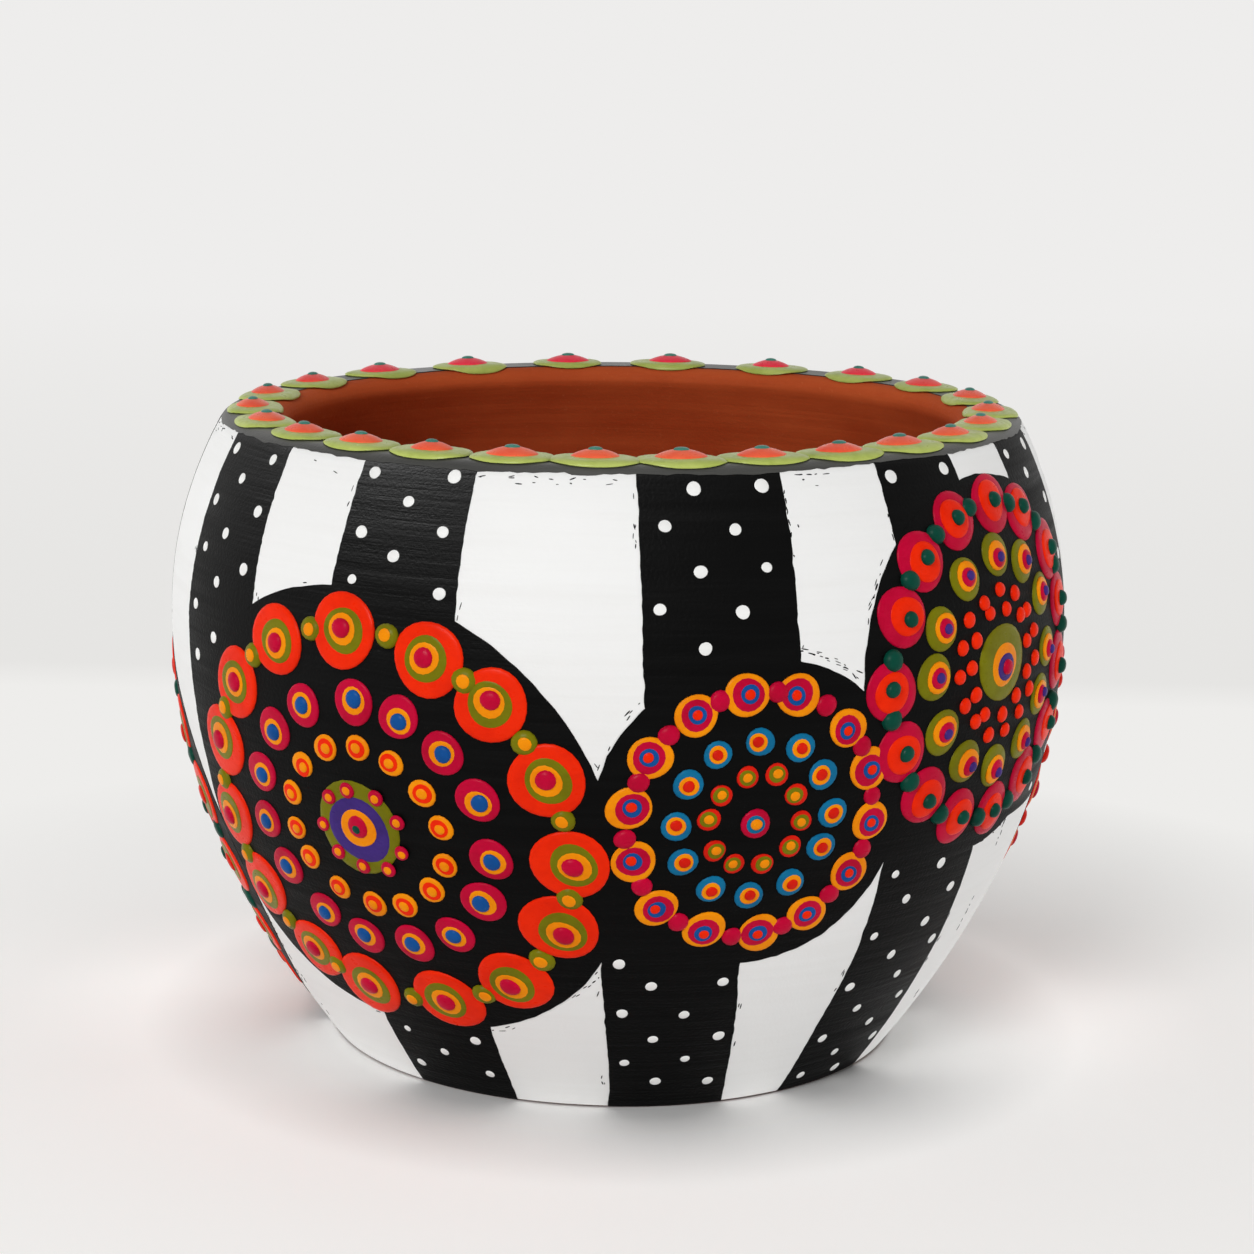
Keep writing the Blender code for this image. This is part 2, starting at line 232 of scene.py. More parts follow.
# dotted paint: thick drops with a faint mottle and a skin that isn't quite even
def makeDropPaint():
    tree, given = newGroup("dropPaint", {
        "Paint": (0.8, 0.2, 0.1, 1), "Deep": (0.6, 0.1, 0.05, 1), "Roughness": 0.35})
    drops = stretched(tree, scale=90.0)
    mottle = stretched(tree, stretch=(1, 1, 1.6), scale=420.0, detail=3.0)
    skin = stretched(tree, scale=1300.0)
    deep = sums(tree, "ADD", spread(tree, drops, 0.42, 0.68, 0.0, 0.55),
                spread(tree, mottle, 0.45, 0.75, 0.0, 0.35))
    colour = blend(tree, deep, given["Paint"], given["Deep"])
    dull = sums(tree, "ADD", given["Roughness"], spread(tree, mottle, 0.3, 0.7, -0.07, 0.10))
    return putOut(tree, colour, dull, sums(tree, "ADD", mottle, sums(tree, "MULTIPLY", skin, 0.3)))


# bare clay: throwing lines round the pot, fired patches and a fine grain
def makeBareClay():
    tree, given = newGroup("bareClay", {
        "Clay": (0.5, 0.2, 0.1, 1), "Fired": (0.35, 0.1, 0.04, 1), "Dust": (0.62, 0.32, 0.2, 1)})
    lines = stretched(tree, stretch=(5, 5, 260), detail=5.0)
    patches = stretched(tree, stretch=(1, 1, 2.5), scale=16.0, detail=4.0)
    grain = stretched(tree, scale=900.0, detail=4.0)
    fired = blend(tree, spread(tree, patches, 0.38, 0.68), given["Clay"], given["Fired"])
    lined = blend(tree, spread(tree, lines, 0.5, 0.72, 0.0, 0.55), fired, given["Fired"])
    dusty = blend(tree, spread(tree, grain, 0.6, 0.8, 0.0, 0.5), lined, given["Dust"])
    dull = spread(tree, grain, 0.3, 0.7, 0.72, 0.92)
    return putOut(tree, dusty, dull, sums(tree, "ADD", lines, sums(tree, "MULTIPLY", grain, 0.25)))


brushedPaint = makeBrushedPaint()
dropPaint = makeDropPaint()
bareClay = makeBareClay()


def srgb(red, green, blue):
    steps = [c / 255 for c in (red, green, blue)]
    return tuple(c / 12.92 if c <= 0.04045 else ((c + 0.055) / 1.055) ** 2.4 for c in steps) + (1.0,)


def finish(name, group, values, bump, depth, specular):
    material = bpy.data.materials.new(name)
    material.use_nodes = True
    tree = material.node_tree
    shader = tree.nodes["Principled BSDF"]
    shader.inputs["Specular IOR Level"].default_value = specular
    effect = tree.nodes.new("ShaderNodeGroup")
    effect.node_tree = group
    for label, value in values.items():
        effect.inputs[label].default_value = value
    relief = tree.nodes.new("ShaderNodeBump")
    relief.inputs["Strength"].default_value = bump
    relief.inputs["Distance"].default_value = depth
    tree.links.new(effect.outputs["Colour"], shader.inputs["Base Color"])
    tree.links.new(effect.outputs["Roughness"], shader.inputs["Roughness"])
    tree.links.new(effect.outputs["Height"], relief.inputs["Height"])
    tree.links.new(relief.outputs["Normal"], shader.inputs["Normal"])
    return material


def brushedFinish(name, paint, film, roughness, strokes, bump, depth, specular):
    return finish(name, brushedPaint, {"Paint": srgb(*paint), "Thin film": srgb(*film), "Roughness": roughness,
                                       "Strokes": strokes}, bump, depth, specular)


def dropFinish(name, paint, deep, roughness=0.32, bump=0.25, depth=0.0003, specular=0.26):
    return finish(name, dropPaint, {"Paint": srgb(*paint), "Deep": srgb(*deep), "Roughness": roughness},
                  bump, depth, specular)


# the foot colour is painted shade for the bottom edge of the clay
clayPlan = dict(clay=(202, 91, 44), fired=(178, 71, 30), dust=(208, 112, 68), foot=(58, 28, 18),
                footShadeEdge=(0.0012, 0.0040), footShadeShare=0.85)
clayFinish = finish("terracottaClay", bareClay, {
    "Clay": srgb(*clayPlan["clay"]), "Fired": srgb(*clayPlan["fired"]), "Dust": srgb(*clayPlan["dust"])},
    bump=0.5, depth=0.0006, specular=0.20)
# painted shade: the foot of the pot is darkened where it stands, in place of the contact shadow there
tree = clayFinish.node_tree
baseColour = tree.nodes["Principled BSDF"].inputs["Base Color"]
bare = baseColour.links[0].from_socket
shadeAtFoot = spread(tree, placeOf(tree)[1]["Z"], *clayPlan["footShadeEdge"], clayPlan["footShadeShare"], 0.0)
tree.links.new(blend(tree, shadeAtFoot, bare, srgb(*clayPlan["foot"])), baseColour)

whiteFinish = brushedFinish("whiteGround", (244, 244, 243), (234, 233, 230), roughness=0.55, strokes=0.25,
                            bump=0.35, depth=0.0003, specular=0.35)
blackFinish = brushedFinish("blackGround", (6, 6, 6), (16, 16, 16), roughness=0.46, strokes=0.5,
                            bump=0.8, depth=0.0004, specular=0.045)
# painted sheen: the black lip's paint and thin film are mid greys that stand in for light caught on its rounded
# edge
lipSheenFinish = brushedFinish("blackLip", (44, 44, 42), (82, 82, 78), roughness=0.38, strokes=0.8,
                          bump=0.6, depth=0.0004, specular=0.36)
whiteDotFinish = dropFinish("whiteDots", (246, 246, 244), (230, 230, 228), roughness=0.5, bump=0.2, depth=0.0002,
                            specular=0.5)
paintColours = dict(
    orange=((244, 42, 1), (222, 30, 1)),
    olive=((119, 118, 6), (102, 97, 4)),
    yellow=((248, 148, 3), (230, 122, 4)),
    magenta=((196, 2, 54), (166, 1, 38)),
    blue=((16, 82, 154), (14, 64, 126)),
    lightBlue=((12, 112, 156), (10, 90, 130)),
    purple=((66, 42, 124), (52, 32, 98)),
    teal=((4, 70, 55), (2, 52, 40)),
    red=((220, 30, 10), (190, 20, 8)))
paintFinishes = {paint: dropFinish(f"{paint}Paint", light, deep, specular=0.09)
                 for paint, (light, deep) in paintColours.items()}
leafFinish = dropFinish("leafGreen", (187, 200, 104), (152, 169, 66), bump=0.3, depth=0.0004)
tipFinish = dropFinish("tipTeal", (62, 132, 116), (34, 102, 92), bump=0.2)

# the berries turn from orange red at the front to crimson at the back
berryColours = dict(front=((254, 104, 64), (242, 66, 46)), behind=((252, 50, 76), (230, 34, 62)),
                    turning=(0.005, 0.060))
berryFinish = dropFinish("berryRed", *berryColours["front"], roughness=0.30, specular=0.24)
tree = berryFinish.node_tree
rear = spread(tree, placeOf(tree)[1]["Y"], *berryColours["turning"])
effect = [node for node in tree.nodes if node.type == "GROUP"][0]
for label, front, behind in zip(("Paint", "Deep"), berryColours["front"], berryColours["behind"]):
    tree.links.new(blend(tree, rear, srgb(*front), srgb(*behind)), effect.inputs[label])
print("finishes made:", len(bpy.data.materials))


# the pot: one turned profile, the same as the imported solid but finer
potShape = dict(bellyRadius=0.100, bellyHeight=0.096, baseRadius=0.0641, shoulderHeight=0.0455,
                shoulderInset=0.0118, lipWidth=0.0160, wall=0.0095, floor=0.011, baseRound=0.002,
                lipOuterRound=0.004, lipInnerRound=0.003, floorRound=0.014, flatRadius=0.03, turns=192,
                outsideRows=110, insideRows=90)
rimHeight = potShape["bellyHeight"] + potShape["shoulderHeight"]
rimRadius = potShape["bellyRadius"] - potShape["shoulderInset"]
shoulderReach = potShape["shoulderHeight"] / math.sqrt(1 - (rimRadius / potShape["bellyRadius"]) ** 2)


def outsideRadius(z):
    belly, widest = potShape["bellyHeight"], potShape["bellyRadius"]
    if z <= belly:
        return widest - (widest - potShape["baseRadius"]) * (1 - z / belly) ** 2
    return widest * math.sqrt(1 - ((z - belly) / shoulderReach) ** 2)


def insideRadius(z):
    share = max(0.0, (z - potShape["bellyHeight"]) / potShape["shoulderHeight"])
    return outsideRadius(z) - potShape["wall"] - (potShape["lipWidth"] - potShape["wall"]) * share


def roundCorner(before, corner, after, radius, steps):
    before, corner, after = (np.asarray(p, float) for p in (before, corner, after))
    back = (before - corner) / np.linalg.norm(before - corner)
    ahead = (after - corner) / np.linalg.norm(after - corner)
    half = math.acos(np.clip(back @ ahead, -1, 1)) / 2
    middle = back + ahead
    centre = corner + middle / np.linalg.norm(middle) * radius / math.sin(half)
    first = corner + back * radius / math.tan(half) - centre
    last = corner + ahead * radius / math.tan(half) - centre
    turn = math.pi - 2 * half
    turns = np.linspace(0, turn, steps + 1)
    return [centre + (first * math.sin(turn - a) + last * math.sin(a)) / math.sin(turn) for a in turns]


# the walls stop short of the rounded corners
outsideHeights = np.linspace(2 * potShape["baseRound"], rimHeight - 1.2 * potShape["lipOuterRound"],
                             potShape["outsideRows"])
insideHeights = np.linspace(rimHeight - 2.6 * potShape["lipInnerRound"],
                            potShape["floor"] + 1.3 * potShape["floorRound"], potShape["insideRows"])
outsideWall = [np.array((outsideRadius(z), z)) for z in outsideHeights]
insideWall = [np.array((insideRadius(z), z)) for z in insideHeights]
outerCorner = (rimRadius, rimHeight)
innerCorner = (rimRadius - potShape["lipWidth"], rimHeight)
floorCorner = (insideRadius(potShape["floor"]), potShape["floor"])
baseEdge = roundCorner((0, 0), (outsideRadius(0), 0), outsideWall[0], potShape["baseRound"], 6)
outerLip = roundCorner(outsideWall[-1], outerCorner, innerCorner, potShape["lipOuterRound"], 9)
innerLip = roundCorner(outerCorner, innerCorner, insideWall[0], potShape["lipInnerRound"], 7)
floorTurn = roundCorner(insideWall[-1], floorCorner, (0, potShape["floor"]), potShape["floorRound"], 10)
lipTop = [outerLip[-1] + (innerLip[0] - outerLip[-1]) * s for s in np.linspace(0.1, 0.9, 9)]
outsideLine = np.array(baseEdge + outsideWall + outerLip + lipTop + innerLip)

# how far each point of the outside lies along the profile, and which way it faces
lineAlong = np.r_[0, np.cumsum(np.linalg.norm(np.diff(outsideLine, axis=0), axis=1))]
lineFacing = np.gradient(outsideLine, lineAlong, axis=0)[:, ::-1] * (1, -1)
lineFacing /= np.linalg.norm(lineFacing, axis=1)[:, None]
lipCount = len(baseEdge) + len(outsideWall) + len(outerLip) - 1
innerLipAlong = lineAlong[lipCount + 1 + len(lipTop)]
seatAlong = (lineAlong[lipCount] + innerLipAlong) / 2


def alongAt(height):
    return np.interp(height, outsideLine[:lipCount, 1], lineAlong[:lipCount])


def radiusAt(along):
    return np.interp(along, lineAlong, outsideLine[:, 0])


def heightAt(along):
    return np.interp(along, lineAlong, outsideLine[:, 1])


# radius and height of what stands proud of the profile
def offProfile(along, proud):
    return (radiusAt(along) + proud * np.interp(along, lineAlong, lineFacing[:, 0]),
            heightAt(along) + proud * np.interp(along, lineAlong, lineFacing[:, 1]))


# the thrown rim isn't quite level: above the belly the wall dips a little towards the front left
rimLean = dict(start=0.100, fullBelowRim=0.002, dip=-0.0006, right=0.0097, back=0.0088)


def lean(points):
    points = np.array(points, float)
    full = rimHeight - rimLean["fullBelowRim"] - rimLean["start"]
    share = np.clip((points[..., 2] - rimLean["start"]) / full, 0, 1)
    dip = rimLean["dip"] + rimLean["right"] * points[..., 0] + rimLean["back"] * points[..., 1]
    points[..., 2] += share * share * (3 - 2 * share) * dip
    return points


# a place over the outside: angle round the pot, distance up the profile, and how proud it stands
def overPot(angle, along, proud):
    angle, along, proud = np.broadcast_arrays(angle, along, proud)
    radius, height = offProfile(along, proud)
    return lean(np.stack([radius * np.sin(angle), -radius * np.cos(angle), height], axis=-1))


# the same, from the middle of a medallion: across to the right and up the wall
def overMedallion(medallion, across, up, proud):
    along = alongAt(medallion["height"]) + np.asarray(up, float)
    turn = 2 * np.arcsin(np.clip(np.asarray(across, float) / (2 * radiusAt(along)), -1, 1))
    return overPot(math.radians(medallion["angle"]) + turn, along, proud)


# distance on the wall from the middle of a medallion's field
def reachFrom(medallion, angle, along):
    turn = (np.asarray(angle) - math.radians(medallion["angle"]) + math.pi) % fullTurn - math.pi
    across = 2 * radiusAt(along) * np.sin(turn / 2) - medallion["shift"][0]
    up = along - alongAt(medallion["height"]) - medallion["shift"][1]
    return np.hypot(across / medallion["shape"][0], up / medallion["shape"][1])


def turnedPiece(name, profile, turns):
    points = [(p[0], 0.0, p[1]) for p in profile]
    piece = bpy.data.objects.new(name, bpy.data.meshes.new(name))
    piece.data.from_pydata(points, [(i, i + 1) for i in range(len(points) - 1)], [])
    bpy.context.scene.collection.objects.link(piece)
    pick(piece)
    lathe = piece.modifiers.new("lathe", "SCREW")
    lathe.steps = lathe.render_steps = turns
    lathe.use_merge_vertices = True
    lathe.merge_threshold = mergeGap
    bpy.ops.object.modifier_apply(modifier=lathe.name)
    return piece


flatRadius, floorHeight = potShape["flatRadius"], potShape["floor"]
potClay = turnedPiece("potClay", [(0.0, 0.0), (flatRadius, 0.0), *outsideLine, *insideWall, *floorTurn,
                                  (flatRadius, floorHeight), (0.0, floorHeight)], potShape["turns"])
facesOut(potClay)
# the fingers leave low rings inside as the clay is drawn up
fingerRings = dict(rise=0.00012, fine=0.0031, slow=0.0074, slowShare=0.6, overFloor=0.002, clear=0.004)
points = readPoints(potClay)
radii, heights = np.hypot(points[:, 0], points[:, 1]), points[:, 2]
inside = (heights > floorHeight + fingerRings["overFloor"]) & (heights < rimHeight - fingerRings["clear"])
inside &= radii < np.array([outsideRadius(z) for z in heights]) - fingerRings["clear"]
rings = np.sin(heights / fingerRings["fine"] + 0.5 * np.arctan2(points[:, 1], points[:, 0]))
rings += fingerRings["slowShare"] * np.sin(heights / fingerRings["slow"] + 1.3)
push = 1 + np.where(inside, rings * fingerRings["rise"] / np.maximum(radii, 0.01), 0)
points[:, :2] *= push[:, None]
setPoints(potClay, lean(points))
smooth(potClay, 50)
dress(potClay, clayFinish, "terracotta", "terracotta_pot")
print("pot turned:", len(potClay.data.polygons), "faces")


# a hand's wobble along an edge: a slow drift and a ragged brush edge
def wobble(seed, length, closed=False, drift=0.00026, ragged=0.00006):
    dice = np.random.default_rng(seed)
    total = np.zeros(length)
    spots = np.linspace(0, 1, length, endpoint=not closed)
    for pieces, amount in ((7, drift), (19, drift * 0.45), (90, ragged), (length // 2, ragged * 0.8)):
        knots = dice.normal(0, 1, pieces + 1)
        if closed:
            knots[-1] = knots[0]
        total += amount * np.interp(spots * pieces, np.arange(pieces + 1), knots)
    return total


# the ground coats: white all over, black stripes, black fields under the medallions, black lip
coats = dict(whiteFoot=0.0006, whiteTop=0.1409, whiteProud=0.00010, stripeFoot=0.0004, stripeProud=0.00016,
             fieldProud=0.00021, lipProud=0.00024, lipFoot=0.1402, lipEnd=-0.0006, thickness=0.00016)

whiteRows = np.linspace(alongAt(coats["whiteFoot"]), alongAt(coats["whiteTop"]), 120)
whiteLine = np.stack(offProfile(whiteRows, coats["whiteProud"]), axis=-1)
whiteCoat = turnedPiece("whiteCoat", whiteLine, potShape["turns"])
setPoints(whiteCoat, lean(readPoints(whiteCoat)))
thicken(whiteCoat, coats["thickness"])
smooth(whiteCoat)
dress(whiteCoat, whiteFinish, "terracotta")

# left and right edges of each stripe in degrees, at the base, low, at the belly and at the rim
stripeHeights = (0.0, 0.038, 0.095, 0.1415)
stripes = (
    dict(left=(-62, -63, -65.5, -66), right=(-46, -46.5, -48.5, -49), foot=0.045),
    dict(left=(-38.5, -38, -36, -35), right=(-17.7, -19, -18.6, -18.3), foot=0),
    dict(left=(0, -1.4, 3.2, 2), right=(21.4, 17.6, 21, 20.5), foot=0, wide=True),
    dict(left=(34, 35.8, 35.8, 35), right=(57, 55, 50, 49), foot=0, wide=True, closeAbove=0.105),
    dict(left=(65, 63, 61.8, 61.6), right=(84, 82, 79, 77), foot=0.06),
    dict(left=(94, 93, 92, 92), right=(113, 112, 110, 109), foot=0),
    dict(left=(126, 127, 127, 126), right=(147, 146, 144, 143), foot=0),
    dict(left=(160, 160, 160, 160), right=(179, 178, 178, 177), foot=0),
    dict(left=(194, 193, 194, 194), right=(213, 212, 211, 211), foot=0),
    dict(left=(227, 227, 227, 227), right=(247, 246, 245, 244), foot=0),
    dict(left=(261, 260, 260, 260), right=(280, 279, 277, 276), foot=0))
stripeRows, stripeColumns = 261, 9
stripeRadius = 0.09  # turns the wobble of an edge into an angle


def stripeEdges(stripe, along):
    heights = heightAt(along)
    return (np.radians(np.interp(heights, stripeHeights, stripe["left"])),
            np.radians(np.interp(heights, stripeHeights, stripe["right"])))


stripeTop = alongAt(coats["whiteTop"])
stripePieces = []
for number, stripe in enumerate(stripes):
    pick()
    bpy.ops.mesh.primitive_grid_add(x_subdivisions=stripeColumns - 1, y_subdivisions=stripeRows - 1, size=1)
    sheet = bpy.context.object
    flat = readPoints(sheet)
    across, up = flat[:, 0] + 0.5, flat[:, 1] + 0.5
    low = alongAt(max(stripe["foot"], coats["stripeFoot"]))
    along = low + up * (stripeTop - low)
    left, right = stripeEdges(stripe, along)
    row = np.rint(up * (stripeRows - 1)).astype(int)
    left = left + wobble(seeds["stripeLeft"] + number, stripeRows)[row] / stripeRadius
    right = right + wobble(seeds["stripeRight"] + number, stripeRows)[row] / stripeRadius
    setPoints(sheet, overPot(left + across * (right - left), along, coats["stripeProud"]))
    thicken(sheet, coats["thickness"])
    stripePieces.append(sheet)
pick(*stripePieces)
bpy.ops.object.join()
blackStripes = bpy.context.object
blackStripes.name = blackStripes.data.name = "blackStripes"
smooth(blackStripes)
dress(blackStripes, blackFinish, "terracotta")

# the black lip hangs a little way down the wall with an uneven lower edge
lipTurns, lipRows = 720, 26
lipAngles = np.arange(lipTurns) * fullTurn / lipTurns
lipFoot = alongAt(coats["lipFoot"]) + wobble(seeds["lipFoot"], lipTurns, True, drift=0.00042, ragged=0.00014)
lipEnd = innerLipAlong + coats["lipEnd"] + wobble(seeds["lipEnd"], lipTurns, True, drift=0.0004, ragged=0.00010)
lipAlong = lipFoot[:, None] + (lipEnd - lipFoot)[:, None] * np.linspace(0, 1, lipRows)
lipPoints = overPot(lipAngles[:, None], lipAlong, coats["lipProud"]).reshape(-1, 3)
lipFaces = []
for i in range(lipTurns):
    here, there = i * lipRows, (i + 1) % lipTurns * lipRows
    lipFaces += [(here + k, there + k, there + k + 1, here + k + 1) for k in range(lipRows - 1)]
blackLip = pieceFrom("blackLip", lipPoints, lipFaces)
thicken(blackLip, coats["thickness"])
smooth(blackLip)
dress(blackLip, lipSheenFinish, "terracotta")
print("ground coats laid")


# medallions: each ring of dots has layers of paint from the wall outwards,
# with their diameter and rise in millimetres and the shape of the dot
medallions = (
    dict(name="frontLeft", node="medallion_front_left", angle=-32.2, height=0.0650, field=0.0530,
         shape=(1.017, 0.964), shift=(0.0009, -0.0002), rings=(
        dict(at=0.0433, count=15, start=93, dots=(
            ("orange", 15.4, 0.60, "flat"), ("olive", 9.4, 0.16, "flat"), ("yellow", 6.5, 0.14, "flat"),
            ("magenta", 4.2, 0.85, "dome"))),
        dict(at=0.0436, count=15, start=81, dots=(("olive", 5.2, 1.25, "dome"), ("yellow", 2.7, 0.22, "cap"))),
        dict(at=0.0284, count=15, start=91, dots=(
            ("magenta", 9.0, 0.55, "flat"), ("yellow", 5.4, 0.14, "flat"), ("blue", 3.6, 0.75, "dome"))),
        dict(at=0.0186, count=14, start=86, dots=(
            ("yellow", 5.6, 0.50, "flat"), ("orange", 4.0, 0.14, "flat"), ("yellow", 2.2, 0.30, "dome"))),
        dict(at=0.0, count=1, start=0, dots=(
            ("olive", 21.6, 0.45, "flat"), ("purple", 15.4, 0.16, "flat"), ("yellow", 9.0, 0.16, "flat"),
            ("magenta", 5.2, 0.60, "dome"), ("teal", 2.0, 0.35, "dome"))),
        dict(at=0.0096, count=9, start=100, raised=0.40, dots=(
            ("magenta", 3.3, 0.45, "small"), ("yellow", 1.8, 0.25, "dome"))))),
    dict(name="frontCentre", node="medallion_front_centre", angle=16.7, height=0.0707, field=0.0341,
         shape=(0.977, 1.015), shift=(0.0001, 0.0006), rings=(
        dict(at=0.0262, count=14, start=97, dots=(
            ("yellow", 8.8, 0.50, "flat"), ("magenta", 6.5, 0.14, "flat"), ("blue", 3.8, 0.14, "flat"),
            ("orange", 2.1, 0.40, "dome"))),
        dict(at=0.0264, count=14, start=84, dots=(("magenta", 4.4, 1.05, "dome"),)),
        dict(at=0.0166, count=12, start=92, dots=(
            ("lightBlue", 6.2, 0.50, "flat"), ("yellow", 4.0, 0.14, "flat"), ("red", 2.4, 0.45, "dome"))),
        dict(at=0.0098, count=10, start=105, dots=(
            ("red", 4.7, 0.42, "flat"), ("olive", 3.4, 0.13, "flat"), ("yellow", 2.0, 0.30, "dome"))),
        dict(at=0.0, count=1, start=0, dots=(
            ("magenta", 6.4, 0.55, "flat"), ("lightBlue", 4.0, 0.15, "flat"), ("yellow", 2.5, 0.55, "dome"))))),
    dict(name="frontRight", node="medallion_front_right", angle=52.6, height=0.0973, field=0.0405,
         shape=(1.0, 1.0), shift=(0.0, 0.0), rings=(
        dict(at=0.0334, count=15, start=86, dots=(
            ("magenta", 12.6, 0.85, "mound"), ("orange", 8.4, 0.55, "mound"), ("teal", 3.4, 1.35, "dome"))),
        dict(at=0.0338, count=15, start=74, dots=(("teal", 4.5, 1.90, "dome"),)),
        dict(at=0.0224, count=12, start=92, dots=(
            ("olive", 9.2, 0.75, "mound"), ("yellow", 6.3, 0.45, "mound"), ("magenta", 4.2, 0.60, "dome"),
            ("purple", 2.2, 0.60, "dome"))),
        dict(at=0.0150, count=15, start=90, loose=0.0006, dots=(("orange", 3.4, 0.95, "dome"),)),
        dict(at=0.0112, count=11, start=80, loose=0.0006, dots=(("orange", 3.4, 0.95, "dome"),)),
        dict(at=0.0, count=1, start=0, dots=(
            ("olive", 16.8, 0.70, "mound"), ("yellow", 9.4, 0.30, "mound"), ("purple", 6.0, 0.25, "mound"),
            ("magenta", 3.4, 0.80, "dome"))))),
    dict(name="right", node="medallion_right", angle=107, height=0.0620, field=0.0470,
         shape=(1.0, 1.0), shift=(0.0, 0.0), rings=(
        dict(at=0.0376, count=15, start=90, dots=(
            ("red", 13.2, 0.80, "mound"), ("yellow", 8.4, 0.35, "mound"), ("magenta", 4.2, 0.95, "dome"))),
        dict(at=0.0379, count=15, start=78, dots=(("red", 4.6, 1.70, "dome"),)),
        dict(at=0.0246, count=13, start=90, dots=(
            ("teal", 8.8, 0.55, "flat"), ("yellow", 5.6, 0.15, "flat"), ("orange", 3.6, 0.70, "dome"))),
        dict(at=0.0152, count=12, start=98, dots=(("yellow", 4.8, 0.50, "flat"), ("magenta", 3.0, 0.45, "dome"))),
        dict(at=0.0, count=1, start=0, dots=(
            ("orange", 17.0, 0.50, "flat"), ("purple", 10.6, 0.16, "flat"), ("yellow", 6.2, 0.16, "flat"),
            ("magenta", 3.4, 0.75, "dome"))))),
    dict(name="back", node="medallion_back", angle=179, height=0.0720, field=0.0515,
         shape=(1.0, 1.0), shift=(0.0, 0.0), rings=(
        dict(at=0.0416, count=15, start=90, dots=(
            ("blue", 14.4, 0.75, "mound"), ("lightBlue", 10.0, 0.30, "mound"), ("yellow", 6.4, 0.20, "small"),
            ("orange", 4.0, 0.85, "dome"))),
        dict(at=0.0419, count=15, start=78, dots=(("yellow", 5.0, 1.20, "dome"), ("magenta", 2.6, 0.22, "cap"))),
        dict(at=0.0276, count=14, start=90, dots=(
            ("orange", 9.0, 0.55, "flat"), ("olive", 5.8, 0.15, "flat"), ("yellow", 3.6, 0.70, "dome"))),
        dict(at=0.0180, count=13, start=98, dots=(("magenta", 5.6, 0.50, "flat"), ("yellow", 3.0, 0.40, "dome"))),
        dict(at=0.0, count=1, start=0, dots=(
            ("teal", 18.6, 0.50, "flat"), ("olive", 12.4, 0.16, "flat"), ("magenta", 7.4, 0.16, "flat"),
            ("yellow", 4.2, 0.75, "dome"))))),
    dict(name="left", node="medallion_left", angle=264.5, height=0.0462, field=0.0502, lift=0.00003,
         shape=(1.0, 1.0), shift=(0.0, 0.0), rings=(
        dict(at=0.0404, count=15, start=90, dots=(
            ("orange", 13.8, 0.55, "flat"), ("olive", 9.0, 0.16, "flat"), ("red", 4.2, 0.60, "dome"))),
        dict(at=0.0407, count=15, start=78, dots=(("teal", 4.9, 0.95, "dome"),)),
        dict(at=0.0268, count=14, start=90, dots=(
            ("magenta", 8.8, 0.55, "flat"), ("orange", 5.6, 0.15, "flat"), ("teal", 3.6, 0.70, "dome"))),
        dict(at=0.0174, count=13, start=98, dots=(("yellow", 5.4, 0.50, "flat"), ("red", 3.0, 0.45, "dome"))),
        dict(at=0.0, count=1, start=0, dots=(
            ("olive", 18.0, 0.50, "flat"), ("magenta", 11.6, 0.16, "flat"), ("yellow", 7.0, 0.16, "flat"),
            ("blue", 4.0, 0.75, "dome"))))))
fieldSides, fieldRings = 300, 18

# each field starts as a flat disc, drawn in ring by ring, and is then laid on the wall
for number, medallion in enumerate(medallions):
    pick()
    bpy.ops.mesh.primitive_circle_add(vertices=fieldSides, radius=medallion["field"], fill_type="NOTHING")
    field = bpy.context.object
    editAll()
    for ring in range(fieldRings, 1, -1):
        bpy.ops.mesh.extrude_edges_move()
        share = (ring - 1) / ring
        bpy.ops.transform.resize(value=(share, share, 1), center_override=(0, 0, 0))
    bpy.ops.mesh.edge_face_add()
    bpy.ops.mesh.poke()
    editDone()
    flat = readPoints(field)
    turn = np.arctan2(flat[:, 1], flat[:, 0]) % fullTurn
    reach = np.hypot(flat[:, 0], flat[:, 1])
    edge = wobble(seeds["field"] + number, fieldSides, True, drift=0.0004, ragged=0.00007)
    edge = np.interp(turn, np.linspace(0, fullTurn, fieldSides + 1), np.r_[edge, edge[:1]])
    flat[:, :2] *= (1 + edge * (reach / medallion["field"]) ** 6 / np.maximum(reach, 0.001))[:, None]
    flat[:, :2] = flat[:, :2] * medallion["shape"] + medallion["shift"]
    proud = coats["fieldProud"] + medallion.get("lift", 0)
    setPoints(field, overMedallion(medallion, flat[:, 0], flat[:, 1], proud))
    thicken(field, coats["thickness"])
    smooth(field)
    field.name = field.data.name = medallion["name"] + "Field"
    dress(field, blackFinish, "terracotta", medallion["node"])
print("medallion fields laid:", len(medallions))


# one dot of each shape, of radius and height 1, drawn up from a disc
dotShapes = dict(
    flat=dict(sides=26, rings=((1.0, 0.34), (0.975, 0.68), (0.92, 0.90), (0.84, 0.985)), crown=0.03),
    mound=dict(sides=26, rings=((1.0, 0.20), (0.97, 0.46), (0.88, 0.70), (0.72, 0.87), (0.50, 0.97)), crown=0.03),
    small=dict(sides=16, rings=((1.0, 0.34), (0.96, 0.72), (0.86, 0.95)), crown=0.05),
    dome=dict(sides=14, rings=((0.99, 0.22), (0.90, 0.52), (0.70, 0.80), (0.40, 0.96)), crown=0.04),
    cap=dict(sides=12, rings=((0.95, 0.55), (0.70, 0.90)), crown=0.10),
    spot=dict(sides=16, rings=((0.98, 0.60), (0.86, 0.95)), crown=0.05),
    fleck=dict(sides=8, rings=((0.80, 0.90),), crown=0.10))
dotModels = {}
